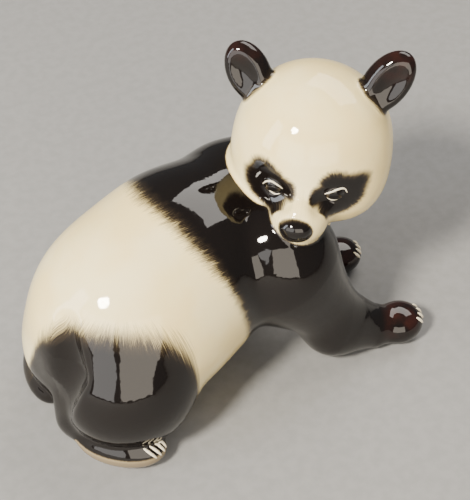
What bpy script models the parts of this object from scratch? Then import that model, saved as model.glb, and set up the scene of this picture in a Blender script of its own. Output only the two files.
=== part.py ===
"""Panda figurine: one slip-cast, glazed animal, crouching and looking back over its right shoulder.

Metres, +Z up. +X is the way the body faces, +Y its left side. The origin is under the middle of the
figure's box, on the surface that it stands on. The form is one closed solid.
"""

import math

import bpy
import numpy as np
from mathutils import Matrix

# Driving dimensions, in metres.
HEIGHT = 0.102  # from the table to the tip of the higher ear
FOOT_FLAT = 0.0008  # how much the feet and the rump are ground away underneath, to stand flat
FACET_SIZE = 0.00135  # spacing of the grid that the clay form is skinned on
TRIANGLE_LIMIT = 9400
FLAT_TOLERANCE = 0.00004  # how far thinning out the facets may lift a point off the ground face
SHARP_DEGREES = 50.0  # only the ground face underneath meets its sides at more than this

# The free form is drawn in units of its own height: the figure is 102 of them tall.
FIGURE_UNITS = 102.0
UNIT = HEIGHT / FIGURE_UNITS
EAR_THICKNESS = 4.4
EAR_RIM = 3.6  # width of the ear's rolled inner rim

GLAZE_CREAM = (0.80, 0.72, 0.58, 1.0)


# Soft clay masses. Each takes points in units and gives the distance to the mass, negative inside.


def ellipsoid(points, centre, radii, axes=None):
    """An ellipsoid, turned so that its three radii lie along the rows of axes."""
    local = points - np.array(centre)
    if axes is not None:
        local = local @ np.array(axes).T
    near = np.linalg.norm(local / radii, axis=-1)
    steep = np.linalg.norm(local / np.square(radii), axis=-1) + 1e-9
    return near * (near - 1.0) / steep


def limb(points, start, end, start_radius, end_radius):
    """A tapering round limb between two joints."""
    start, end = np.array(start), np.array(end)
    run = end - start
    along = np.clip((points - start) @ run / (run @ run), 0.0, 1.0)
    axis_points = start + along[..., None] * run
    radius = start_radius + along * (end_radius - start_radius)
    return np.linalg.norm(points - axis_points, axis=-1) - radius


def join(first, second, fillet):
    """Both masses, with a soft fillet of about that size where they meet."""
    overlap = np.maximum(fillet - np.abs(first - second), 0.0) / fillet
    return np.minimum(first, second) - overlap**3 * fillet / 6.0


def carve(mass, tool, fillet):
    """The mass with the tool cut out of it, its edges rounded."""
    return -join(-mass, tool, fillet)


def turned(yaw, pitch=0.0, roll=0.0):
    """Three axes as rows: the first points along yaw and rises by pitch, and roll turns the rest about it."""
    yaw, pitch, roll = np.radians((yaw, pitch, roll))
    first = np.array((np.cos(yaw) * np.cos(pitch), np.sin(yaw) * np.cos(pitch), np.sin(pitch)))
    level = np.array((-np.sin(yaw), np.cos(yaw), 0.0))
    rise = np.cross(first, level)
    second = level * np.cos(roll) + rise * np.sin(roll)
    return np.array((first, second, np.cross(first, second)))


# The hips sit skewed to the body, since the spine bends as the panda looks back. They have a frame of
# their own, as the head has: forward, left and up. Paired masses fold the right side over the left.

HIP_CENTRE = (-12.0, -3.5, 0.0)
HIP_AXES = turned(yaw=14)
HEAD_CENTRE = (55.6, -1.0, 72.0)
HEAD_AXES = turned(yaw=-129, pitch=-3, roll=-2.6)


def seen_from(points, centre, axes):
    return (points - np.array(centre)) @ axes.T


def folded(local):
    return np.stack([local[..., 0], np.abs(local[..., 1]), local[..., 2]], -1)


def torso(points):
    rump = ellipsoid(points, (-11, -4, 32), (31.8, 31, 32))
    barrel = ellipsoid(points, (13, 3, 37), (30, 29.5, 31))
    chest = ellipsoid(points, (34.5, 7, 40), (24, 24.5, 26))
    body = join(join(rump, barrel, 22), chest, 12)
    neck = limb(points, (41, 9, 44), (53, 5, 57), 20, 16.5)
    return join(body, neck, 9)


def hind_legs(points):
    """Folded thighs with the feet splayed flat. The left foot is tucked in, and the right heel is out."""
    local = seen_from(points, HIP_CENTRE, HIP_AXES)
    right_thigh = ellipsoid(local, (-15.2, -18.3, 22), (19.5, 15, 19), turned(-35))
    left_thigh = ellipsoid(local, (-11, 14.5, 19), (19.5, 15, 19), turned(35))
    thigh = np.minimum(right_thigh, left_thigh)
    left_foot = ellipsoid(local, (-19.5, 18.5, 6), (14.5, 7.8, 6.5), turned(59))
    right_foot = ellipsoid(local, (-22.0, -20.5, 6), (14.5, 8.3, 6.5), turned(-59))
    right_heel = ellipsoid(points, (-34, -14, 9), (9, 10, 10))
    legs = join(join(thigh, right_heel, 8), left_foot, 3)
    return join(legs, right_foot, 3)


def cleft(points):
    """The valley down the rear between the two thighs, which curves out above the left foot."""
    top = limb(points, (-36.8, -14.5, 50), (-40.6, -20.5, 36), 3, 6.5)
    middle = limb(points, (-40.6, -20.5, 36), (-45.6, -17.5, 24), 6.5, 7)
    foot = limb(points, (-45.6, -17.5, 24), (-48.3, -8.5, 10), 7, 5.5)
    return np.minimum(np.minimum(top, middle), foot)


def right_foreleg(points):
    shoulder = ellipsoid(points, (36, -15, 40), (18, 16, 23))
    upper = limb(points, (38, -18, 38), (52, -24, 13), 15, 10.5)
    fore = limb(points, (52, -24, 12), (64, -28.5, 7.5), 10.5, 7.5)
    paw = ellipsoid(points, (73.2, -31.0, 6.5), (8.3, 7.5, 6.5), turned(-8))
    return join(join(join(shoulder, upper, 10), fore, 8), paw, 4)


def left_foreleg(points):
    shoulder = ellipsoid(points, (34, 17, 40), (18, 15, 22))
    upper = limb(points, (36, 18, 38), (53, 12, 14), 14, 10)
    fore = limb(points, (53, 12, 13), (66, 7, 7), 10, 7.5)
    paw = ellipsoid(points, (73, 5.0, 6.3), (8, 7, 6.3), turned(-12))
    return join(join(join(shoulder, upper, 10), fore, 8), paw, 4)


def leaf_axes(along, across):
    first = np.array(along) / np.linalg.norm(along)
    second = np.array(across) - first * (first @ np.array(across))
    second = second / np.linalg.norm(second)
    return np.array((first, second, np.cross(first, second)))


def ear(local, side, centre, along, length, width):
    """A thick leaf, rolled over along its inner edge and hollowed softly towards its outer edge."""
    axes = leaf_axes(along, (0.30, side * 0.90, -0.42))
    opening = axes[2] if axes[2][0] > 0 else -axes[2]
    outward = axes[1] * side if axes[1][1] > 0 else -axes[1] * side
    leaf = ellipsoid(local, centre, (length, width, EAR_THICKNESS), axes)
    hollow_centre = np.array(centre) + opening * 6.4 + outward * (EAR_RIM - 1.0) + axes[0] * 1.0
    hollow = ellipsoid(local, hollow_centre, (length - 0.5, width - 1.0, 4.6), axes)
    return carve(leaf, hollow, 3)


def head(points):
    local = seen_from(points, HEAD_CENTRE, HEAD_AXES)
    paired = folded(local)
    skull = ellipsoid(local, (0, 0, 0), (24.2, 24.5, 24.0))
    cheek = ellipsoid(paired, (6, 9.4, -7.4), (15, 14, 14))
    mass = join(skull, cheek, 8)
    muzzle = limb(local, (11, 0, -6), (25.0, -0.3, -9.1), 15.5, 8.7)
    mass = join(mass, muzzle, 6)
    socket = ellipsoid(paired, (27.0, 9.4, -0.4), (4.4, 7.0, 4.6), turned(22))
    mass = carve(mass, socket, 3)
    eyeball = ellipsoid(paired, (19.6, 8.2, -0.2), (4.3, 4.0, 2.9), turned(20))
    mass = join(mass, eyeball, 0.8)
    nose = ellipsoid(local, (32.2, -0.8, -7.4), (3.2, 4.8, 3.6), turned(0, 12))
    mass = join(mass, nose, 1.0)
    right_ear = ear(local, -1, (-4.2, -21.4, 19.2), (-0.32, -0.50, 0.80), 10.0, 6.6)
    left_ear = ear(local, 1, (-4.4, 19.8, 21.8), (-0.30, 0.50, 0.81), 11.2, 6.8)
    return join(mass, np.minimum(right_ear, left_ear), 3.5)


def figure(points):
    mass = carve(join(torso(points), hind_legs(points), 10), cleft(points), 5)
    mass = join(mass, right_foreleg(points), 6)
    mass = join(mass, left_foreleg(points), 6)
    return join(mass, head(points), 2)


# Skinning the form.

LOW_CORNER = np.array((-56.0, -48.0, -6.0))
HIGH_CORNER = np.array((94.0, 46.0, 116.0))


def pull_to_surface(form, points, rounds):
    """Moves points along the form's slope until they lie on its surface."""
    reach = 0.05
    least_steepness = 0.05
    steps = reach * np.eye(3)
    for _ in range(rounds):
        slope = np.stack([form(points + s) - form(points - s) for s in steps], -1) / (2 * reach)
        steepness = np.maximum((slope**2).sum(-1, keepdims=True), least_steepness)
        points = points - form(points)[:, None] * slope / steepness
    return points


def without_pinches(inside):
    """Fills the grid corners where two masses touch only across a diagonal, so the skin is one sheet."""
    pinched = True
    while pinched:
        pinched = False
        for axis in range(3):
            layers = np.moveaxis(inside, axis, 0)
            corners = layers[:, :-1, :-1], layers[:, 1:, :-1], layers[:, :-1, 1:], layers[:, 1:, 1:]
            pinch = (corners[0] == corners[3]) & (corners[1] == corners[2]) & (corners[0] != corners[1])
            for corner in corners:
                corner |= pinch
            pinched = pinched or pinch.any()
    return inside


def skin(form, low, high, spacing):
    """A closed mesh of the form: one vertex for each grid cell that the surface crosses, and a quad across
    each grid edge that it cuts."""
    counts = np.ceil((high - low) / spacing).astype(int) + 1
    axes = [low[i] + spacing * np.arange(counts[i]) for i in range(3)]
    values = np.empty(counts)
    for i, x in enumerate(axes[0]):
        grid = np.stack(np.meshgrid(x, axes[1], axes[2], indexing="ij"), -1)
        values[i] = form(grid.reshape(-1, 3)).reshape(counts[1:])
    inside = without_pinches(values < 0)
    corners = np.stack([inside[i : i - 1 or None, j : j - 1 or None, k : k - 1 or None]
                        for i in (0, 1) for j in (0, 1) for k in (0, 1)])
    crossed = corners.any(0) & ~corners.all(0)
    number = np.full(crossed.shape, -1)
    number[crossed] = np.arange(crossed.sum())
    points = low + spacing * (np.argwhere(crossed) + 0.5)
    quads = []
    for axis in range(3):
        here = np.moveaxis(inside, axis, 0)
        cells = np.moveaxis(number, axis, 0)
        cut = here[:-1, 1:-1, 1:-1] != here[1:, 1:-1, 1:-1]
        n, a, b = np.nonzero(cut)
        ring = np.stack([cells[n, a, b], cells[n, a + 1, b], cells[n, a + 1, b + 1], cells[n, a, b + 1]], -1)
        leaving = here[:-1, 1:-1, 1:-1][cut] ^ (axis == 1)
        quads.append(np.where(leaving[:, None], ring, ring[:, ::-1]))
    return points, np.concatenate(quads)


def relaxed(form, points, quads, rounds):
    """Evens out the skin: each point moves to the middle of its neighbours and back to the surface."""
    ends = np.concatenate([quads[:, [0, 1]], quads[:, [1, 2]], quads[:, [2, 3]], quads[:, [3, 0]]])
    count = np.bincount(ends[:, 0], minlength=len(points))
    for _ in range(rounds):
        middle = np.stack([np.bincount(ends[:, 0], points[ends[:, 1], i], len(points)) for i in range(3)], -1)
        points = pull_to_surface(form, points * 0.5 + 0.5 * middle / count[:, None], 1)
    return points


def clear_scene():
    for obj in list(bpy.data.objects):
        bpy.data.objects.remove(obj)


def glaze(name, colour, roughness):
    material = bpy.data.materials.new(name)
    material.use_nodes = True
    shader = material.node_tree.nodes["Principled BSDF"]
    shader.inputs["Base Color"].default_value = colour
    shader.inputs["Roughness"].default_value = roughness
    shader.inputs["Metallic"].default_value = 0.0
    return material


def fewer_facets(panda, most):
    """Collapses the flattest edges first, so that the face, the ears and the feet keep their shape."""
    bpy.context.view_layer.objects.active = panda
    triangles = sum(len(p.vertices) - 2 for p in panda.data.polygons)
    modifier = panda.modifiers.new("fewer facets", "DECIMATE")
    modifier.ratio = most / triangles
    modifier.use_collapse_triangulate = True
    graph = bpy.context.evaluated_depsgraph_get()
    mesh = bpy.data.meshes.new_from_object(panda.evaluated_get(graph))
    panda.modifiers.clear()
    panda.data = mesh


def ground_flat(points, height):
    """The underside ground off flat: whatever hangs below that height is brought up to it."""
    return np.stack([points[:, 0], points[:, 1], np.maximum(points[:, 2], height)], -1)


def settle_underside(mesh, height):
    """Brings the points that the decimation lifted a hair off the ground face back to it."""
    for vertex in mesh.vertices:
        if abs(vertex.co.z - height) < FLAT_TOLERANCE:
            vertex.co.z = height


def stand_at_origin(mesh):
    """Moves the figure so that the middle of its box is over the origin and its underside is at zero."""
    corners = np.array([vertex.co for vertex in mesh.vertices])
    low, high = corners.min(0), corners.max(0)
    mesh.transform(Matrix.Translation((-(low[0] + high[0]) / 2, -(low[1] + high[1]) / 2, -low[2])))


def main():
    clear_scene()
    points, quads = skin(figure, LOW_CORNER, HIGH_CORNER, FACET_SIZE / UNIT)
    points = pull_to_surface(figure, points, 3)
    points = ground_flat(relaxed(figure, points, quads, 3), FOOT_FLAT / UNIT)
    mesh = bpy.data.meshes.new("panda")
    mesh.from_pydata(points * UNIT, [], quads.tolist())
    panda = bpy.data.objects.new("panda", mesh)
    bpy.context.scene.collection.objects.link(panda)
    fewer_facets(panda, TRIANGLE_LIMIT)
    settle_underside(panda.data, FOOT_FLAT)
    stand_at_origin(panda.data)
    panda.data.shade_smooth()
    panda.data.set_sharp_from_angle(angle=math.radians(SHARP_DEGREES))
    panda.data.materials.append(glaze("glazed black and cream", GLAZE_CREAM, 0.15))


main()
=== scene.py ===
"""Panda figurine: one slip-cast ceramic animal in black and cream glaze, looking back over its shoulder."""

import math

import bmesh
import bpy
import numpy as np
from mathutils import Matrix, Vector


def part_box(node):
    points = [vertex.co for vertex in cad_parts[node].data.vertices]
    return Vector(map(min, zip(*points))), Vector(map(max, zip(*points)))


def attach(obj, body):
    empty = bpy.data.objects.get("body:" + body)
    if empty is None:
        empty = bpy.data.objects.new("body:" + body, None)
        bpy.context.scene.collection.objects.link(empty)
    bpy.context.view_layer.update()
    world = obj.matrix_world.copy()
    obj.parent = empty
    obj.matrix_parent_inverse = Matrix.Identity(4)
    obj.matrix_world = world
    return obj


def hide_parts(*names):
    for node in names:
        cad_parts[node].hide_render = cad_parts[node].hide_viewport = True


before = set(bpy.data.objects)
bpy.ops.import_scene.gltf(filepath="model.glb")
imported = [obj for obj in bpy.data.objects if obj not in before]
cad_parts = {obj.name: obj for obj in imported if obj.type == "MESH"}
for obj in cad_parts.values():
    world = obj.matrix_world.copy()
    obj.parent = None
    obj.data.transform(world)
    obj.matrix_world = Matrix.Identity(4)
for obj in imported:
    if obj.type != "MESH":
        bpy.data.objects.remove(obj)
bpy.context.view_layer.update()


# The body is cast in one piece from clay slip: rump, barrel, chest and neck, with the legs folded
# close to it. It is drawn in millimetres, x forward, y to its left and z up, and is 102 high at the
# tip of the higher ear.

MILLIMETRE = 0.001
FOOT_FLAT = 0.8


def ellipsoid(points, centre, radii, axes=None):
    """Distance to an ellipsoid, negative inside. Its three radii lie along the rows of axes."""
    local = points - np.array(centre)
    if axes is not None:
        local = local @ np.array(axes).T
    near = np.linalg.norm(local / radii, axis=-1)
    steep = np.linalg.norm(local / np.square(radii), axis=-1) + 1e-9
    return near * (near - 1.0) / steep


def limb(points, start, end, start_radius, end_radius):
    """Distance to a tapering round limb between two joints."""
    start, end = np.array(start), np.array(end)
    run = end - start
    along = np.clip((points - start) @ run / (run @ run), 0.0, 1.0)
    axis_points = start + along[..., None] * run
    radius = start_radius + along * (end_radius - start_radius)
    return np.linalg.norm(points - axis_points, axis=-1) - radius


def join(first, second, fillet):
    """Both masses, with a soft fillet of about that size where they meet."""
    overlap = np.maximum(fillet - np.abs(first - second), 0.0) / fillet
    return np.minimum(first, second) - overlap**3 * fillet / 6.0


def carve(mass, tool, fillet):
    """The mass with the tool cut out of it, its edges rounded."""
    return -join(-mass, tool, fillet)


def turned(yaw, pitch=0.0, roll=0.0):
    """Three axes as rows. The first points along yaw and rises by pitch, and roll turns the others."""
    yaw, pitch, roll = np.radians((yaw, pitch, roll))
    first = np.array((np.cos(yaw) * np.cos(pitch), np.sin(yaw) * np.cos(pitch), np.sin(pitch)))
    level = np.array((-np.sin(yaw), np.cos(yaw), 0.0))
    rise = np.cross(first, level)
    second = level * np.cos(roll) + rise * np.sin(roll)
    return np.array((first, second, np.cross(first, second)))


def seen_from(points, centre, axes):
    return (points - np.array(centre)) @ axes.T


def torso(points):
    rump = ellipsoid(points, (-11, -4, 32), (31.8, 31, 32))
    barrel = ellipsoid(points, (13, 3, 37), (30, 29.5, 31))
    chest = ellipsoid(points, (34.5, 7, 40), (24, 24.5, 26))
    body = join(join(rump, barrel, 22), chest, 12)
    neck = limb(points, (41, 9, 44), (53, 5, 57), 20, 16.5)
    return join(body, neck, 9)


HIP_CENTRE = (-12.0, -3.5, 0.0)
HIP_AXES = turned(yaw=14)


# Each foot is an ellipsoid: its middle, its radii and its axes, of which the first points to the toes.
RIGHT_HIND_FOOT = (-22.0, -20.5, 6.0), (14.5, 8.3, 6.5), turned(-59)
LEFT_HIND_FOOT = (-19.5, 18.5, 6.0), (14.5, 7.8, 6.5), turned(59)
RIGHT_PAW = (73.2, -31.0, 6.5), (8.3, 7.5, 6.5), turned(-8)
LEFT_PAW = (73.0, 5.0, 6.3), (8.0, 7.0, 6.3), turned(-12)


def hind_legs(points):
    """Folded thighs with the feet splayed flat, in the frame of the skewed hips."""
    local = seen_from(points, HIP_CENTRE, HIP_AXES)
    right_thigh = ellipsoid(local, (-15.2, -18.3, 22), (19.5, 15, 19), turned(-35))
    left_thigh = ellipsoid(local, (-11, 14.5, 19), (19.5, 15, 19), turned(35))
    right_heel = ellipsoid(points, (-34, -14, 9), (9, 10, 10))
    legs = join(np.minimum(right_thigh, left_thigh), right_heel, 8)
    return join(join(legs, ellipsoid(local, *LEFT_HIND_FOOT), 3), ellipsoid(local, *RIGHT_HIND_FOOT), 3)


def cleft(points):
    """The valley down the rear between the two thighs, which curves out above the left foot."""
    top = limb(points, (-36.8, -14.5, 50), (-40.6, -20.5, 36), 3, 6.5)
    middle = limb(points, (-40.6, -20.5, 36), (-45.6, -17.5, 24), 6.5, 7)
    foot = limb(points, (-45.6, -17.5, 24), (-48.3, -8.5, 10), 7, 5.5)
    return np.minimum(np.minimum(top, middle), foot)


def right_foreleg(points):
    shoulder = ellipsoid(points, (36, -15, 40), (18, 16, 23))
    upper = limb(points, (38, -18, 38), (52, -24, 13), 15, 10.5)
    fore = limb(points, (52, -24, 12), (64, -28.5, 7.5), 10.5, 7.5)
    return join(join(join(shoulder, upper, 10), fore, 8), ellipsoid(points, *RIGHT_PAW), 4)


def left_foreleg(points):
    shoulder = ellipsoid(points, (34, 17, 40), (18, 15, 22))
    upper = limb(points, (36, 18, 38), (53, 12, 14), 14, 10)
    fore = limb(points, (53, 12, 13), (66, 7, 7), 10, 7.5)
    return join(join(join(shoulder, upper, 10), fore, 8), ellipsoid(points, *LEFT_PAW), 4)


# The head is part of the same casting, turned back over the right shoulder. It is drawn in a frame of
# its own: forward along the muzzle, to the panda's left, and up. The ears are thick leaves, rolled over
# along their inner edges.

HEAD_CENTRE = (55.6, -1.0, 72.0)
HEAD_AXES = turned(yaw=-129, pitch=-3, roll=-2.6)
MUZZLE_LEAN = -0.8
EAR_THICKNESS = 4.4
EAR_RIM = 3.6
EAR_HOLLOW_OUT = 6.4
EAR_HOLLOW_RADIUS = 4.6


def folded(local):
    return np.stack([local[..., 0], np.abs(local[..., 1]), local[..., 2]], -1)


def leaf_axes(along, across):
    first = np.array(along) / np.linalg.norm(along)
    second = np.array(across) - first * (first @ np.array(across))
    second = second / np.linalg.norm(second)
    return np.array((first, second, np.cross(first, second)))


def ear(local, side, centre, along, length, width):
    """A thick leaf, rolled over along its inner edge and hollowed softly towards its outer edge."""
    axes = leaf_axes(along, (0.30, side * 0.90, -0.42))
    opening = axes[2] if axes[2][0] > 0 else -axes[2]
    outward = axes[1] * side if axes[1][1] > 0 else -axes[1] * side
    leaf = ellipsoid(local, centre, (length, width, EAR_THICKNESS), axes)
    hollow_centre = np.array(centre) + opening * EAR_HOLLOW_OUT + outward * (EAR_RIM - 1.0) + axes[0] * 1.0
    hollow = ellipsoid(local, hollow_centre, (length - 0.5, width - 1.0, EAR_HOLLOW_RADIUS), axes)
    return carve(leaf, hollow, 3)


def ears(local):
    right_ear = ear(local, -1, (-4.2, -21.4, 19.2), (-0.32, -0.50, 0.80), 10.0, 6.6)
    left_ear = ear(local, 1, (-4.4, 19.8, 21.8), (-0.30, 0.50, 0.81), 11.2, 6.8)
    return np.minimum(right_ear, left_ear)


def nose_pad(local):
    return ellipsoid(local, (32.2, MUZZLE_LEAN, -7.4), (3.2, 4.8, 3.6), turned(0, 12))


def skull_and_cheeks(local):
    skull = ellipsoid(local, (0, 0, 0), (24.2, 24.5, 24.0))
    cheek = ellipsoid(folded(local), (6, 9.4, -7.4), (15, 14, 14))
    return join(skull, cheek, 8)


def head_without_ears(local):
    paired = folded(local)
    muzzle = limb(local, (11, 0, -6), (25.0, -0.3, -9.1), 15.5, 8.7)
    mass = join(skull_and_cheeks(local), muzzle, 6)
    socket = ellipsoid(paired, (27.0, 9.4, -0.4), (4.4, 7.0, 4.6), turned(22))
    eyeball = ellipsoid(paired, (19.6, 8.2, -0.2), (4.3, 4.0, 2.9), turned(20))
    mass = join(carve(mass, socket, 3), eyeball, 0.8)
    return join(mass, nose_pad(local), 1.0)


def figure(points):
    mass = carve(join(torso(points), hind_legs(points), 10), cleft(points), 5)
    mass = join(join(mass, right_foreleg(points), 6), left_foreleg(points), 6)
    local = seen_from(points, HEAD_CENTRE, HEAD_AXES)
    head = join(head_without_ears(local), ears(local), 3.5)
    return join(mass, head, 2)


# The glazed surface is one closed skin over that form, finer on the face. The nostrils and the mouth
# are shallow grooves in the clay, as the mould leaves them, and the feet are ground flat after firing.

SKIN_SPACING = 0.85
SLOPE_REACH = 0.1
NEAR_SURFACE = 5.2
BLOCK_CELLS = 5
BATCHES = 24
LOW_CORNER = np.array((-56.0, -48.0, -6.0))
HIGH_CORNER = np.array((94.0, 46.0, 116.0))
FACE_BACK = 14
FACE_HALF_WIDTH = 20
FACE_TOP = 9
FACE_LOW = -15
NOSE_MIDDLE = np.array((33, MUZZLE_LEAN, -9))
NOSE_REACH = 7.5


def mouth_and_nostrils(local):
    paired = folded(local - np.array((0, MUZZLE_LEAN, 0)))
    nostril = ellipsoid(paired, (35.0, 2.1, -9.2), (1.2, 0.9, 0.7), turned(20, -10))
    lip = limb(paired, (32.6, 0, -15.0), (24.5, 6.5, -16.6), 0.7, 0.4)
    philtrum = limb(paired, (34.2, 0, -11.4), (32.8, 0, -14.9), 0.45, 0.6)
    return join(nostril, np.minimum(lip, philtrum), 0.3)


def detailed(points):
    """The figure with the nostrils and the mouth cut into it."""
    local = seen_from(points, HEAD_CENTRE, HEAD_AXES)
    return carve(figure(points), mouth_and_nostrils(local), 0.8)


def pull_to_surface(form, points, rounds):
    """Moves points along the form's slope until they lie on its surface."""
    reach = 0.05
    least_steepness = 0.05
    for _ in range(rounds):
        slope = slope_of(form, points, reach)
        steepness = np.maximum((slope**2).sum(-1, keepdims=True), least_steepness)
        points = points - form(points)[:, None] * slope / steepness
    return points


def slope_of(form, points, reach):
    steps = reach * np.eye(3)
    return np.stack([form(points + s) - form(points - s) for s in steps], -1) / (2 * reach)


def field(form, low, high, spacing):
    """The form's distance on a grid. Blocks far from the surface keep the value at their middle."""
    blocks = np.ceil((high - low) / spacing / BLOCK_CELLS).astype(int) + 1
    corners = np.indices(blocks).reshape(3, -1).T * BLOCK_CELLS
    middles = low + spacing * (corners + (BLOCK_CELLS - 1) / 2)
    rough = form(middles)
    values = rough.reshape(blocks)
    for axis in range(3):
        values = np.repeat(values, BLOCK_CELLS, axis)
    near = corners[np.abs(rough) < NEAR_SURFACE]
    cells = np.indices((BLOCK_CELLS,) * 3).reshape(3, -1).T
    for part in np.array_split(near, BATCHES):
        index = (part[:, None] + cells).reshape(-1, 3)
        values[tuple(index.T)] = form(low + spacing * index)
    return values


def without_pinches(inside):
    """Fills the grid corners where two masses touch only across a diagonal, so the skin is one sheet."""
    pinched = True
    while pinched:
        pinched = False
        for axis in range(3):
            layers = np.moveaxis(inside, axis, 0)
            corners = layers[:, :-1, :-1], layers[:, 1:, :-1], layers[:, :-1, 1:], layers[:, 1:, 1:]
            pinch = (corners[0] == corners[3]) & (corners[1] == corners[2]) & (corners[0] != corners[1])
            for corner in corners:
                corner |= pinch
            pinched = pinched or pinch.any()
    return inside


def skin(form, low, high, spacing):
    """A closed mesh: a vertex in each grid cell that the surface crosses, a quad across each cut edge."""
    inside = without_pinches(field(form, low, high, spacing) < 0)
    corners = np.stack([inside[i : i - 1 or None, j : j - 1 or None, k : k - 1 or None]
                        for i in (0, 1) for j in (0, 1) for k in (0, 1)])
    crossed = corners.any(0) & ~corners.all(0)
    number = np.full(crossed.shape, -1)
    number[crossed] = np.arange(crossed.sum())
    points = low + spacing * (np.argwhere(crossed) + 0.5)
    quads = []
    for axis in range(3):
        here = np.moveaxis(inside, axis, 0)
        cells = np.moveaxis(number, axis, 0)
        cut = here[:-1, 1:-1, 1:-1] != here[1:, 1:-1, 1:-1]
        n, a, b = np.nonzero(cut)
        around = cells[n, a, b], cells[n, a + 1, b], cells[n, a + 1, b + 1], cells[n, a, b + 1]
        ring = np.stack(around, -1)
        leaving = here[:-1, 1:-1, 1:-1][cut] ^ (axis == 1)
        quads.append(np.where(leaving[:, None], ring, ring[:, ::-1]))
    return points, np.concatenate(quads)


def relaxed(form, points, quads, rounds):
    """Evens out the skin: each point moves to the middle of its neighbours and back to the surface."""
    here, there = np.concatenate([quads[:, [side, (side + 1) % 4]] for side in range(4)]).T
    count = np.bincount(here, minlength=len(points))
    for _ in range(rounds):
        total = np.stack([np.bincount(here, values, len(points)) for values in points[there].T], -1)
        points = pull_to_surface(form, points * 0.5 + 0.5 * total / count[:, None], 1)
    return points


def coordinates(mesh):
    flat = np.empty(len(mesh.vertices) * 3, np.float32)
    mesh.vertices.foreach_get("co", flat)
    return flat.reshape(-1, 3).astype(float)


def split_finer(mesh, chosen):
    """Halves the mesh's faces where chosen says so, from the vertices' coordinates."""
    work = bmesh.new()
    work.from_mesh(mesh)
    work.verts.ensure_lookup_table()
    marks = chosen(coordinates(mesh))
    edges = [edge for edge in work.edges if marks[edge.verts[0].index] and marks[edge.verts[1].index]]
    bmesh.ops.subdivide_edges(work, edges=edges, cuts=1, use_grid_fill=True)
    work.to_mesh(mesh)
    work.free()


def on_the_face(points):
    local = seen_from(points, HEAD_CENTRE, HEAD_AXES)
    x, y, z = local.T
    return (x > FACE_BACK) & (np.abs(y) < FACE_HALF_WIDTH) & (z < FACE_TOP) & (z > FACE_LOW)


def by_the_nose(points):
    local = seen_from(points, HEAD_CENTRE, HEAD_AXES)
    return np.linalg.norm(local - NOSE_MIDDLE, axis=1) < NOSE_REACH


points, quads = skin(figure, LOW_CORNER, HIGH_CORNER, SKIN_SPACING)
points = relaxed(figure, pull_to_surface(figure, points, 3), quads, 3)
panda_mesh = bpy.data.meshes.new("panda_body")
panda_mesh.from_pydata(points, [], quads.tolist())
split_finer(panda_mesh, on_the_face)
split_finer(panda_mesh, by_the_nose)
points = pull_to_surface(detailed, coordinates(panda_mesh), 3)
slopes = slope_of(detailed, points, SLOPE_REACH)
normals = slopes / np.linalg.norm(slopes, axis=1, keepdims=True)
ground = points[:, 2] < FOOT_FLAT
points[ground, 2] = FOOT_FLAT
normals[ground] = (0, 0, -1)
low_box, high_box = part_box("panda")
to_frame = np.array((low_box + high_box) / 2) / MILLIMETRE - (points.min(0) + points.max(0)) / 2
panda_mesh.vertices.foreach_set("co", ((points + to_frame) * MILLIMETRE).ravel())
panda_mesh.shade_smooth()
panda_mesh.normals_split_custom_set_from_vertices(normals)
panda = bpy.data.objects.new("panda_body", panda_mesh)
bpy.context.scene.collection.objects.link(panda)


# The glaze is a warm cream all over, with black brushed on: ears, eye patches, nose, the band over the
# shoulders with the forelegs, and the hind legs. The brush leaves hairs at the edge, brown where thin.
# The soles are left bare of glaze, and the cream close to the table is darkened as painted shade.

# Hairs are spaced by millimetres along the paint's edge: an angle times the radius that it bends at.
BAND_RADIUS = 30
LEG_RADIUS = 24
HEAD_RADIUS = 24
PATCH_RADIUS = 7
NOSE_RADIUS = 4
EAR_PAINT_REACH = 0.9
BAND_ON_SPINE = (1.0, 5.0, 67.2)
BAND_SWEEP_RIGHT = 0.22
BAND_SWEEP_LEFT = 0.08
BAND_LEAN = 0.25
RIGHT_LEG_TOP = 50.8
RIGHT_LEG_FRONT = -4.5
LEFT_LEG_TOP = 50.0
LEFT_LEG_FRONT = 6.0
RIGHT_SOLE = 7.3
LEFT_SOLE = 2.2
NOSE_PAINT_MIDDLE = (-0.7, -7.9)
NOSE_PAINT_RADII = (5.2, 4.3)
NOSE_PAINT_BACK = 20
PATCH_BACK = 8
UNPAINTED = -20.0
# Each stroke of an eye patch: its two ends, across and up the face, and its half width at either end.
RIGHT_PATCH = (
    ((-11.0, -0.6), (-11.4, -1.0), 6.4, 6.4),
    ((-9.0, 0.0), (-5.2, 0.6), 5.0, 2.8),
    ((-11.0, 1.0), (-12.2, 3.2), 4.6, 3.8),
    ((-12.0, 0.0), (-14.8, -0.6), 5.0, 3.0),
    ((-11.0, -2.0), (-10.7, -5.2), 5.0, 3.0),
)
LEFT_PATCH = (
    ((11.0, -0.6), (11.4, -1.0), 6.4, 6.4),
    ((9.0, 0.0), (4.9, 0.0), 5.0, 2.7),
    ((9.5, 1.0), (8.6, 3.2), 4.6, 3.9),
    ((12.0, 0.0), (15.5, 1.8), 4.8, 3.1),
    ((11.0, -2.0), (11.0, -4.5), 5.0, 3.2),
)
RIGHT_PATCH_FRONT = 28.3
LEFT_PATCH_FRONT = 27.3
COLLAR_WIDTH = 1.3
CHIN_COLLAR = 0.3


def brushed(distance, along, stroke):
    """A painted field: how far inside its edge, where along that edge, and how long the hairs are there."""
    return np.stack([distance, along, stroke + np.zeros_like(distance)])


def rising(value, low, high):
    """0 up to low, 1 from high on, and a straight rise between them."""
    return np.clip((value - low) / (high - low), 0, 1)


def both(first, second):
    """Black only where both fields are painted."""
    return np.where(first[0] < second[0], first, second)


def either(first, second):
    """Black where one of the fields is painted."""
    return np.where(first[0] > second[0], first, second)


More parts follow.
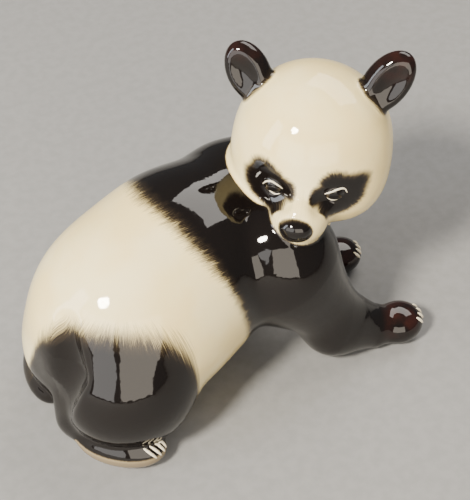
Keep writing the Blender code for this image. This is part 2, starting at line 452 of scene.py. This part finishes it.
def shoulder_band(points):
    """Everything ahead of an edge that crosses the spine and runs forward down both flanks."""
    x, y, z = points.T
    spine_x, spine_y, spine_z = BAND_ON_SPINE
    sweep = np.where(y < spine_y, BAND_SWEEP_RIGHT, BAND_SWEEP_LEFT) * np.abs(y - spine_y)
    edge = spine_x + sweep - BAND_LEAN * (z - spine_z)
    upward = rising(z, 51, 63)
    inside = 0.95 * (x - edge + 1.8 * upward)
    return brushed(inside, BAND_RADIUS * np.arctan2(y - 3, z - 36), 4.2 + 2.0 * upward)


def hind_leg_paint(points):
    """Each thigh with its foot, down to the sole. The hairs are longest over the top of the thigh."""
    local = seen_from(points, HIP_CENTRE, HIP_AXES)
    x, y, z = local.T
    across_back = 19.5 - 0.92 * y - 0.393 * z
    right = join(join(RIGHT_LEG_TOP - z, across_back, 24), RIGHT_LEG_FRONT - points[:, 0], 36)
    left = join(join(LEFT_LEG_TOP - z, y - 19 - 0.25 * z, 14), LEFT_LEG_FRONT - x, 30)
    left = np.maximum(left, 1.5 - ellipsoid(local, *LEFT_HIND_FOOT))
    around = np.arctan2(y + np.where(y < 0, 12, -12), x + 10)
    paint = brushed(np.maximum(right, left), LEG_RADIUS * around, 2.6 + 3.8 * rising(z, 34, 46))
    right_sole = z - RIGHT_SOLE + 8 * np.maximum(ellipsoid(local, *RIGHT_HIND_FOOT) - 0.4, 0)
    sole = np.where(y < 0, right_sole, z - LEFT_SOLE)
    return both(paint, brushed(sole, 1.5 * points[:, 0], 0.7))


def patch_paint(local, strokes, side, front):
    """A few broad brush strokes in the plane of the face, ending where the muzzle comes forward."""
    flat = local[:, 1:]
    patch = limb(flat, *strokes[0])
    for stroke in strokes[1:]:
        patch = join(patch, limb(flat, *stroke), 1.5)
    around = np.arctan2(flat[:, 1], side * flat[:, 0] - 11.0)
    fore = 0.8 * (front - local[:, 0])
    depth = np.where(local[:, 0] > PATCH_BACK, np.minimum(0.3 - patch, fore), UNPAINTED)
    return brushed(depth, PATCH_RADIUS * around + 20 * side, 0.8 + 1.6 * rising(fore, 0, 3))


points = coordinates(panda_mesh) / MILLIMETRE - to_frame
local = seen_from(points, HEAD_CENTRE, HEAD_AXES)
turn_of_head = HEAD_RADIUS * np.arctan2(local[:, 1], local[:, 0])
off_head = np.minimum(skull_and_cheeks(local) - COLLAR_WIDTH, head_without_ears(local) - CHIN_COLLAR)
collar = brushed(off_head, turn_of_head, 0.6)
ear_paint = brushed(EAR_PAINT_REACH - ears(local), turn_of_head, 1.2)
inside_nose = -ellipsoid(local[:, 1:], NOSE_PAINT_MIDDLE, NOSE_PAINT_RADII)
nose_depth = np.where(local[:, 0] > NOSE_PAINT_BACK, inside_nose, UNPAINTED)
across_nose, up_nose = (local[:, 1:] - np.array(NOSE_PAINT_MIDDLE)).T
nose_paint = brushed(nose_depth, NOSE_RADIUS * np.arctan2(up_nose, across_nose), 0.55)
black = both(either(shoulder_band(points), hind_leg_paint(points)), collar)
right_patch = patch_paint(local, RIGHT_PATCH, -1, RIGHT_PATCH_FRONT)
left_patch = patch_paint(local, LEFT_PATCH, 1, LEFT_PATCH_FRONT)
for paint in (ear_paint, right_patch, left_patch, nose_paint):
    black = either(black, paint)
near_paw = np.minimum(ellipsoid(points, *RIGHT_PAW), ellipsoid(points, *LEFT_PAW))
on_paws = np.clip(1.2 - 0.35 * near_paw, 0, 1) * rising(points[:, 2], 6, 11)
on_ears = np.clip(1.5 - ears(local), 0, 1) * rising(local[:, 2], 22, 30)
thin = np.maximum(on_paws, on_ears)
laid_on = {"black": black[0], "along_edge": black[1], "stroke": black[2], "thin": thin}
for name, values in laid_on.items():
    attribute = panda_mesh.attributes.new(name, "FLOAT", "POINT")
    attribute.data.foreach_set("value", values.astype(np.float32))


class Recipe:
    """The node tree of one finish, with a short call for each kind of node."""

    def __init__(self, name):
        self.material = bpy.data.materials.new(name)
        self.material.use_nodes = True
        self.nodes = self.material.node_tree.nodes
        self.links = self.material.node_tree.links
        self.shader = self.nodes["Principled BSDF"]

    def node(self, kind, inputs=None, **settings):
        node = self.nodes.new(kind)
        for key, value in settings.items():
            setattr(node, key, value)
        for key, value in (inputs or {}).items():
            self.put(node.inputs[key], value)
        return node

    def put(self, socket, value):
        if isinstance(value, bpy.types.NodeSocket):
            self.links.new(value, socket)
        else:
            socket.default_value = value

    def math(self, operation, first, second=0.0, third=0.0):
        node = self.node("ShaderNodeMath", {0: first, 1: second, 2: third}, operation=operation)
        return node.outputs[0]

    def attribute(self, name):
        return self.node("ShaderNodeAttribute", attribute_name=name).outputs["Fac"]

    def noise(self, vector, scale, detail=2.0, roughness=0.5):
        inputs = {"Vector": vector, "Scale": scale, "Detail": detail, "Roughness": roughness}
        return self.node("ShaderNodeTexNoise", inputs).outputs["Fac"]

    def ramp(self, value, low, high):
        """0 at low and 1 at high, easing in and out."""
        inputs = {"Value": value, "From Min": low, "From Max": high}
        return self.node("ShaderNodeMapRange", inputs, interpolation_type="SMOOTHSTEP").outputs["Result"]

    def mix(self, factor, first, second):
        node = self.node("ShaderNodeMix", data_type="RGBA")
        for socket, value in zip((node.inputs[0], node.inputs[6], node.inputs[7]), (factor, first, second)):
            self.put(socket, value)
        return node.outputs[2]


CREAM = (0.89, 0.70, 0.32, 1.0)
CREAM_PALE = (0.92, 0.78, 0.43, 1.0)
# Painted shade: a dark brownish cream that stands for the shadow on the cream near the table.
LOW_CREAM_IN_SHADE = (0.20, 0.155, 0.095, 1.0)
THIN_BLACK = (0.042, 0.030, 0.018, 1.0)
DEEP_BLACK = (0.006, 0.0045, 0.004, 1.0)
WORN_BLACK = (0.024, 0.008, 0.006, 1.0)
BISCUIT = (0.74, 0.66, 0.54, 1.0)
GLAZE_IOR = 1.48
GLOSS = 0.03
PITTED_ROUGHER = 0.04
BARE_ROUGHER = 0.6
WAVE_HEIGHT = 0.0012
HAIR_STRETCH = 0.07
HAIR_SWING = 1.6
CLUMP_SWING = 0.5
COVER_FROM_TO = (-0.52, 0.32)
DEEP_FROM_TO = (-0.05, 0.80)
LOW_SHADE_FROM_TO = (0.011, 0.005)
GROUND_FROM_TO = (0.00035, 0.00012)

glaze = Recipe("black_and_cream_glaze")
place = glaze.node("ShaderNodeTexCoord").outputs["Object"]
black_in = glaze.attribute("black")
stroke = glaze.attribute("stroke")
along = glaze.attribute("along_edge")
down_hair = glaze.math("MULTIPLY", black_in, HAIR_STRETCH)
hair_place = glaze.node("ShaderNodeCombineXYZ", {"X": along, "Y": down_hair}).outputs[0]
fine_hair = glaze.noise(hair_place, scale=4.2, detail=4.0, roughness=0.7)
clump = glaze.noise(hair_place, scale=0.5)
hair_ends = glaze.math("MULTIPLY_ADD", fine_hair, HAIR_SWING, -HAIR_SWING / 2)
clump_ends = glaze.math("MULTIPLY_ADD", clump, CLUMP_SWING, -CLUMP_SWING / 2)
ragged = glaze.math("ADD", hair_ends, clump_ends)
edge = glaze.math("ADD", glaze.math("DIVIDE", black_in, stroke), ragged)
cover = glaze.ramp(edge, *COVER_FROM_TO)
depth = glaze.ramp(edge, *DEEP_FROM_TO)
cloudy = glaze.noise(place, scale=42.0, detail=4.0)
cream = glaze.mix(glaze.ramp(cloudy, 0.35, 0.68), CREAM, CREAM_PALE)
height = glaze.node("ShaderNodeSeparateXYZ", {"Vector": place}).outputs["Z"]
# Painted shade: below about 11 mm the cream turns to the dark brownish cream, standing for the shadow under
# the feet and belly.
cream = glaze.mix(glaze.ramp(height, *LOW_SHADE_FROM_TO), cream, LOW_CREAM_IN_SHADE)
flow = glaze.ramp(glaze.noise(place, scale=160.0, detail=3.0), 0.30, 0.65)
deep = glaze.mix(glaze.math("MULTIPLY", glaze.attribute("thin"), flow), DEEP_BLACK, WORN_BLACK)
brush_black = glaze.mix(depth, THIN_BLACK, deep)
coat = glaze.mix(cover, cream, brush_black)
bare = glaze.ramp(height, *GROUND_FROM_TO)
glaze.put(glaze.shader.inputs["Base Color"], glaze.mix(bare, coat, BISCUIT))
wavy = glaze.noise(place, scale=110.0, detail=3.0, roughness=0.55)
pitted = glaze.noise(place, scale=900.0)
rough = glaze.math("MULTIPLY_ADD", pitted, PITTED_ROUGHER, GLOSS)
glaze.put(glaze.shader.inputs["Roughness"], glaze.math("MULTIPLY_ADD", bare, BARE_ROUGHER, rough))
bump = glaze.node("ShaderNodeBump", {"Height": wavy, "Strength": 0.12, "Distance": WAVE_HEIGHT})
glaze.put(glaze.shader.inputs["Normal"], bump.outputs["Normal"])
glaze.shader.inputs["IOR"].default_value = GLAZE_IOR
panda_mesh.materials.append(glaze.material)
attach(panda, "root")
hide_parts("panda")


# The eyelids are thin raised ridges of slip, one over and one under each eye. They stay cream in the
# black patch, since the brush went round them.

UPPER_LIDS = (
    ((-12.3, -1.4), (-11.4, 0.5), (-9.6, 1.5), (-7.4, 0.8), (-6.1, -0.2)),
    ((6.3, 0.0), (8.0, 1.0), (10.1, 1.6), (11.9, 1.3), (12.9, -0.5)),
)
LOWER_LIDS = (
    ((-11.2, -1.5), (-9.9, -2.7), (-8.3, -3.0), (-6.8, -2.2)),
    ((7.1, -1.4), (8.5, -2.5), (9.9, -2.6), (11.1, -1.2)),
)
UPPER_LID_RADIUS = 0.32
LOWER_LID_RADIUS = 0.23
RIDGE_SIDES = 10
RIDGE_STATIONS = 40
RIDGE_SWELL = ((0.0, 0.12), (0.15, 0.75), (0.45, 1.0), (0.85, 0.7), (1.0, 0.12))


def on_face(y, z):
    """The point of the face's surface straight in front of that place in the head's own plane."""
    well_in_front = 40.0
    part_of_gap = 0.7
    probe = np.array([[well_in_front, y, z]])
    steps = 80
    for _ in range(steps):
        probe[0, 0] -= part_of_gap * head_without_ears(probe)[0]
    return probe[0]


def to_frame_place(local):
    return (np.asarray(local) @ HEAD_AXES + np.array(HEAD_CENTRE) + to_frame) * MILLIMETRE


def ridge_tree():
    """Sweeps a round ridge along each line, thick in the middle and fading out at its two ends."""
    tree = bpy.data.node_groups.new("slip_ridge", "GeometryNodeTree")
    tree.interface.new_socket("Line", in_out="INPUT", socket_type="NodeSocketGeometry")
    tree.interface.new_socket("Radius", in_out="INPUT", socket_type="NodeSocketFloat")
    tree.interface.new_socket("Sides", in_out="INPUT", socket_type="NodeSocketInt")
    tree.interface.new_socket("Material", in_out="INPUT", socket_type="NodeSocketMaterial")
    tree.interface.new_socket("Ridge", in_out="OUTPUT", socket_type="NodeSocketGeometry")
    nodes, links = tree.nodes, tree.links
    given, result = nodes.new("NodeGroupInput"), nodes.new("NodeGroupOutput")
    to_curve = nodes.new("GeometryNodeMeshToCurve")
    smooth = nodes.new("GeometryNodeCurveSplineType")
    smooth.spline_type = "CATMULL_ROM"
    resample = nodes.new("GeometryNodeResampleCurve")
    resample.inputs["Count"].default_value = RIDGE_STATIONS
    along = nodes.new("GeometryNodeSplineParameter")
    swell = nodes.new("ShaderNodeFloatCurve")
    curve = swell.mapping.curves[0]
    first, *between, last = RIDGE_SWELL
    curve.points[0].location = first
    curve.points[1].location = last
    for x, y in between:
        curve.points.new(x, y)
    swell.mapping.update()
    scaled = nodes.new("ShaderNodeMath")
    scaled.operation = "MULTIPLY"
    circle = nodes.new("GeometryNodeCurvePrimitiveCircle")
    circle.inputs["Radius"].default_value = 1.0
    sweep = nodes.new("GeometryNodeCurveToMesh")
    sweep.inputs["Fill Caps"].default_value = True
    realize = nodes.new("GeometryNodeRealizeInstances")
    paint = nodes.new("GeometryNodeSetMaterial")
    for start, end in (
        (given.outputs["Line"], to_curve.inputs["Mesh"]),
        (to_curve.outputs["Curve"], smooth.inputs["Curve"]),
        (smooth.outputs["Curve"], resample.inputs["Curve"]),
        (along.outputs["Factor"], swell.inputs["Value"]),
        (swell.outputs["Value"], scaled.inputs[0]),
        (given.outputs["Radius"], scaled.inputs[1]),
        (given.outputs["Sides"], circle.inputs["Resolution"]),
        (resample.outputs["Curve"], sweep.inputs["Curve"]),
        (scaled.outputs[0], sweep.inputs["Scale"]),
        (circle.outputs["Curve"], sweep.inputs["Profile Curve"]),
        (sweep.outputs["Mesh"], realize.inputs["Geometry"]),
        (realize.outputs["Geometry"], paint.inputs["Geometry"]),
        (given.outputs["Material"], paint.inputs["Material"]),
        (paint.outputs["Geometry"], result.inputs["Ridge"]),
    ):
        links.new(start, end)
    return tree


def through_tree(name, mesh, tree, values):
    """Runs a mesh through a node tree and keeps the result as a plain mesh."""
    source = bpy.data.objects.new(name, mesh)
    bpy.context.scene.collection.objects.link(source)
    modifier = source.modifiers.new(name, "NODES")
    modifier.node_group = tree
    for item in tree.interface.items_tree:
        if item.in_out == "INPUT" and item.name in values:
            modifier[item.identifier] = values[item.name]
    graph = bpy.context.evaluated_depsgraph_get()
    result = bpy.data.meshes.new_from_object(source.evaluated_get(graph))
    bpy.data.objects.remove(source)
    result.name = name
    piece = bpy.data.objects.new(name, result)
    bpy.context.scene.collection.objects.link(piece)
    result.shade_smooth()
    return piece


LID_CREAM = (0.80, 0.71, 0.52, 1.0)
LID_PALE = (0.87, 0.80, 0.63, 1.0)

lid_glaze = Recipe("cream_lids")
lid_place = lid_glaze.node("ShaderNodeTexCoord").outputs["Object"]
lid_tone = lid_glaze.ramp(lid_glaze.noise(lid_place, scale=900.0), 0.35, 0.7)
lid_glaze.put(lid_glaze.shader.inputs["Base Color"], lid_glaze.mix(lid_tone, LID_CREAM, LID_PALE))
lid_glaze.shader.inputs["Roughness"].default_value = 0.12
lid_glaze.shader.inputs["IOR"].default_value = GLAZE_IOR


def ridges(name, lines, radius):
    """One piece of round ridges, each laid along one of the lines of stations."""
    stations = np.concatenate(lines)
    pairs = []
    for line in lines:
        start = 1 + (pairs[-1][1] if pairs else -1)
        pairs += [(start + i, start + i + 1) for i in range(len(line) - 1)]
    lines_mesh = bpy.data.meshes.new(name)
    lines_mesh.from_pydata(stations, pairs, [])
    values = {"Radius": radius * MILLIMETRE, "Sides": RIDGE_SIDES, "Material": lid_glaze.material}
    piece = through_tree(name, lines_mesh, slip_ridge, values)
    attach(piece, "root")


slip_ridge = ridge_tree()
lids = {"upper_lids": (UPPER_LIDS, UPPER_LID_RADIUS), "lower_lids": (LOWER_LIDS, LOWER_LID_RADIUS)}
for name, (lines, radius) in lids.items():
    ridges(name, [[to_frame_place(on_face(y, z)) for y, z in line] for line in lines], radius)


# The claws are short strokes of the same cream slip, four on the toes of each foot, fanned round the
# tip. They were drawn on with a fine brush and run together a little at their lower ends.

CLAW_RADIUS = 0.50
CLAW_TOP = 42.0
CLAW_FOOT = 7.0
CLAW_SPREAD = 1.12
CLAW_DRAWN_IN = 0.3
CLAW_STATIONS = 5
LEVEL = (0.0, 0.0, 0.0), np.eye(3)
# The foot, the frame that it is drawn in, and how far each of its claws is turned off its middle.
CLAW_FANS = (
    (RIGHT_HIND_FOOT, (HIP_CENTRE, HIP_AXES), (-33, -20, -6, 7)),
    (LEFT_HIND_FOOT, (HIP_CENTRE, HIP_AXES), (-7, 6, 20, 33)),
    (RIGHT_PAW, LEVEL, (-40, -21, -2, 17)),
    (LEFT_PAW, LEVEL, (-44, -25, -6, 13)),
)


def claw_line(foot, place, turn):
    """Stations over the toes of a foot, from the top of a claw down to its point."""
    centre, radii, axes = foot
    down = np.linspace(0.0, 1.0, CLAW_STATIONS)
    rise = np.radians(CLAW_TOP + down * (CLAW_FOOT - CLAW_TOP))
    turn = np.radians(turn * (CLAW_SPREAD - CLAW_DRAWN_IN * down))
    ball = np.stack([np.cos(rise) * np.cos(turn), np.cos(rise) * np.sin(turn), np.sin(rise)], -1)
    origin, frame_axes = place
    stations = (ball * radii @ axes + np.array(centre)) @ frame_axes + np.array(origin)
    return (pull_to_surface(figure, stations, 6) + to_frame) * MILLIMETRE


claw_lines = [claw_line(foot, place, turn) for foot, place, turns in CLAW_FANS for turn in turns]
ridges("claws", claw_lines, CLAW_RADIUS)


# The eyes are small dark almonds between the lids, under the same clear glaze: black in the middle,
# with a little olive brown showing at their two ends.

EYE_RADII = (2.35, 1.15, 0.45)
EYES = (((-9.0, -0.45), 10.0), ((9.2, -0.2), -7.0))
BROWN_FROM_TO = (0.45, 0.85)
WET_IOR = 1.33
EYE_BLACK = (0.004, 0.003, 0.003, 1.0)
EYE_BROWN = (0.036, 0.026, 0.014, 1.0)

eye_work = bmesh.new()
for (y, z), tilt in EYES:
    middle = on_face(y, z)
    outward = slope_of(head_without_ears, middle[None], SLOPE_REACH)[0]
    lean = math.radians(tilt)
    eye_axes = leaf_axes(outward, (0.0, math.cos(lean), math.sin(lean)))[[1, 2, 0]]
    almond = bmesh.ops.create_uvsphere(eye_work, u_segments=40, v_segments=20, radius=1.0)["verts"]
    for vertex in almond:
        vertex.co = to_frame_place(np.array(vertex.co) * EYE_RADII @ eye_axes + middle)
eye_mesh = bpy.data.meshes.new("eyes")
bmesh.ops.recalc_face_normals(eye_work, faces=eye_work.faces)
eye_work.to_mesh(eye_mesh)
eye_work.free()
eye_mesh.shade_smooth()
eye_points = seen_from(coordinates(eye_mesh) / MILLIMETRE - to_frame, HEAD_CENTRE, HEAD_AXES)
off_middle = np.min([np.abs(eye_points[:, 1] - y) for (y, z), tilt in EYES], axis=0)
toward_ends = (off_middle / EYE_RADII[0]).astype(np.float32)
eye_mesh.attributes.new("toward_ends", "FLOAT", "POINT").data.foreach_set("value", toward_ends)
eyes = bpy.data.objects.new("eyes", eye_mesh)
bpy.context.scene.collection.objects.link(eyes)
eye_glaze = Recipe("dark_eyes")
eye_tone = eye_glaze.ramp(eye_glaze.attribute("toward_ends"), *BROWN_FROM_TO)
eye_glaze.put(eye_glaze.shader.inputs["Base Color"], eye_glaze.mix(eye_tone, EYE_BLACK, EYE_BROWN))
eye_glaze.shader.inputs["Roughness"].default_value = 0.30
eye_glaze.shader.inputs["IOR"].default_value = WET_IOR
eye_mesh.materials.append(eye_glaze.material)
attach(eyes, "root")


# The table is a plain pale sheet. Four soft panes and a round lamp stand round it, as the windows and
# the lamp of a room would, and the camera looks down on the right side of the figure.

CAMERA_AT = (-0.1440, -0.2631, 0.3424)
CAMERA_TURN = -30
CAMERA_TILT = 45
CAMERA_LENS = 98.18
CAMERA_SENSOR = 36.0
LIT_HEIGHT = 0.04
ROOM_COLOUR = (0.9, 0.95, 1.0, 1.0)
ROOM_STRENGTH = 0.16
TABLE_HALF = 3.0
TABLE_GREY = (0.235, 0.233, 0.23, 1.0)
TABLE_PALE = (0.258, 0.256, 0.253, 1.0)

table_mesh = bpy.data.meshes.new("table")
corners = [(x * TABLE_HALF, y * TABLE_HALF, 0.0) for x, y in ((-1, -1), (1, -1), (1, 1), (-1, 1))]
table_mesh.from_pydata(corners, [], [(0, 1, 2, 3)])
table = bpy.data.objects.new("table", table_mesh)
bpy.context.scene.collection.objects.link(table)
paper = Recipe("pale_paper")
paper_place = paper.node("ShaderNodeTexCoord").outputs["Object"]
grain = paper.ramp(paper.noise(paper_place, scale=260.0, detail=3.0), 0.3, 0.7)
paper.put(paper.shader.inputs["Base Color"], paper.mix(grain, TABLE_GREY, TABLE_PALE))
paper.shader.inputs["Roughness"].default_value = 0.85
table_mesh.materials.append(paper.material)


def soft_light(name, azimuth, elevation, distance, width, height, power, colour, shape="RECTANGLE"):
    """A soft light that faces the middle of the figure from that direction."""
    data = bpy.data.lights.new(name, "AREA")
    data.shape = shape
    data.size = width
    if shape == "RECTANGLE":
        data.size_y = height
    data.energy = power
    data.color = colour
    light = bpy.data.objects.new(name, data)
    bpy.context.scene.collection.objects.link(light)
    azimuth, elevation = math.radians(azimuth), math.radians(elevation)
    level = distance * math.cos(elevation)
    rise = distance * math.sin(elevation)
    light.location = (level * math.cos(azimuth), level * math.sin(azimuth), rise + LIT_HEIGHT)
    light.rotation_euler = (math.pi / 2 - elevation, 0.0, azimuth + math.pi / 2)


# Each light: its direction round the figure and above it in degrees, its distance, width and height
# in metres, its watts and its colour.
soft_light("near_panes", -106, 16, 1.1, 0.82, 0.64, 7.6, (1.0, 0.90, 0.76))
soft_light("far_panes", -154, 16, 1.1, 0.82, 0.64, 6.4, (0.97, 0.94, 0.90))
soft_light("side_window", 170, 22, 1.1, 0.30, 0.80, 7, (0.90, 0.95, 1.0))
soft_light("skylight", 22, 52, 1.2, 1.1, 0.62, 14, (1.0, 0.95, 0.88))
soft_light("lamp", -158, 46, 1.1, 0.20, 0.20, 27, (1.0, 0.93, 0.80), "DISK")

world = bpy.data.worlds.new("studio")
world.use_nodes = True
world.node_tree.nodes["Background"].inputs["Color"].default_value = ROOM_COLOUR
world.node_tree.nodes["Background"].inputs["Strength"].default_value = ROOM_STRENGTH
bpy.context.scene.world = world

camera_data = bpy.data.cameras.new("camera")
camera_data.lens = CAMERA_LENS
camera_data.sensor_width = CAMERA_SENSOR
camera = bpy.data.objects.new("camera", camera_data)
bpy.context.scene.collection.objects.link(camera)
turn = Matrix.Rotation(math.radians(CAMERA_TURN), 4, "Z")
tilt = Matrix.Rotation(math.radians(CAMERA_TILT), 4, "X")
camera.matrix_world = Matrix.Translation(CAMERA_AT) @ turn @ tilt
bpy.context.scene.camera = camera
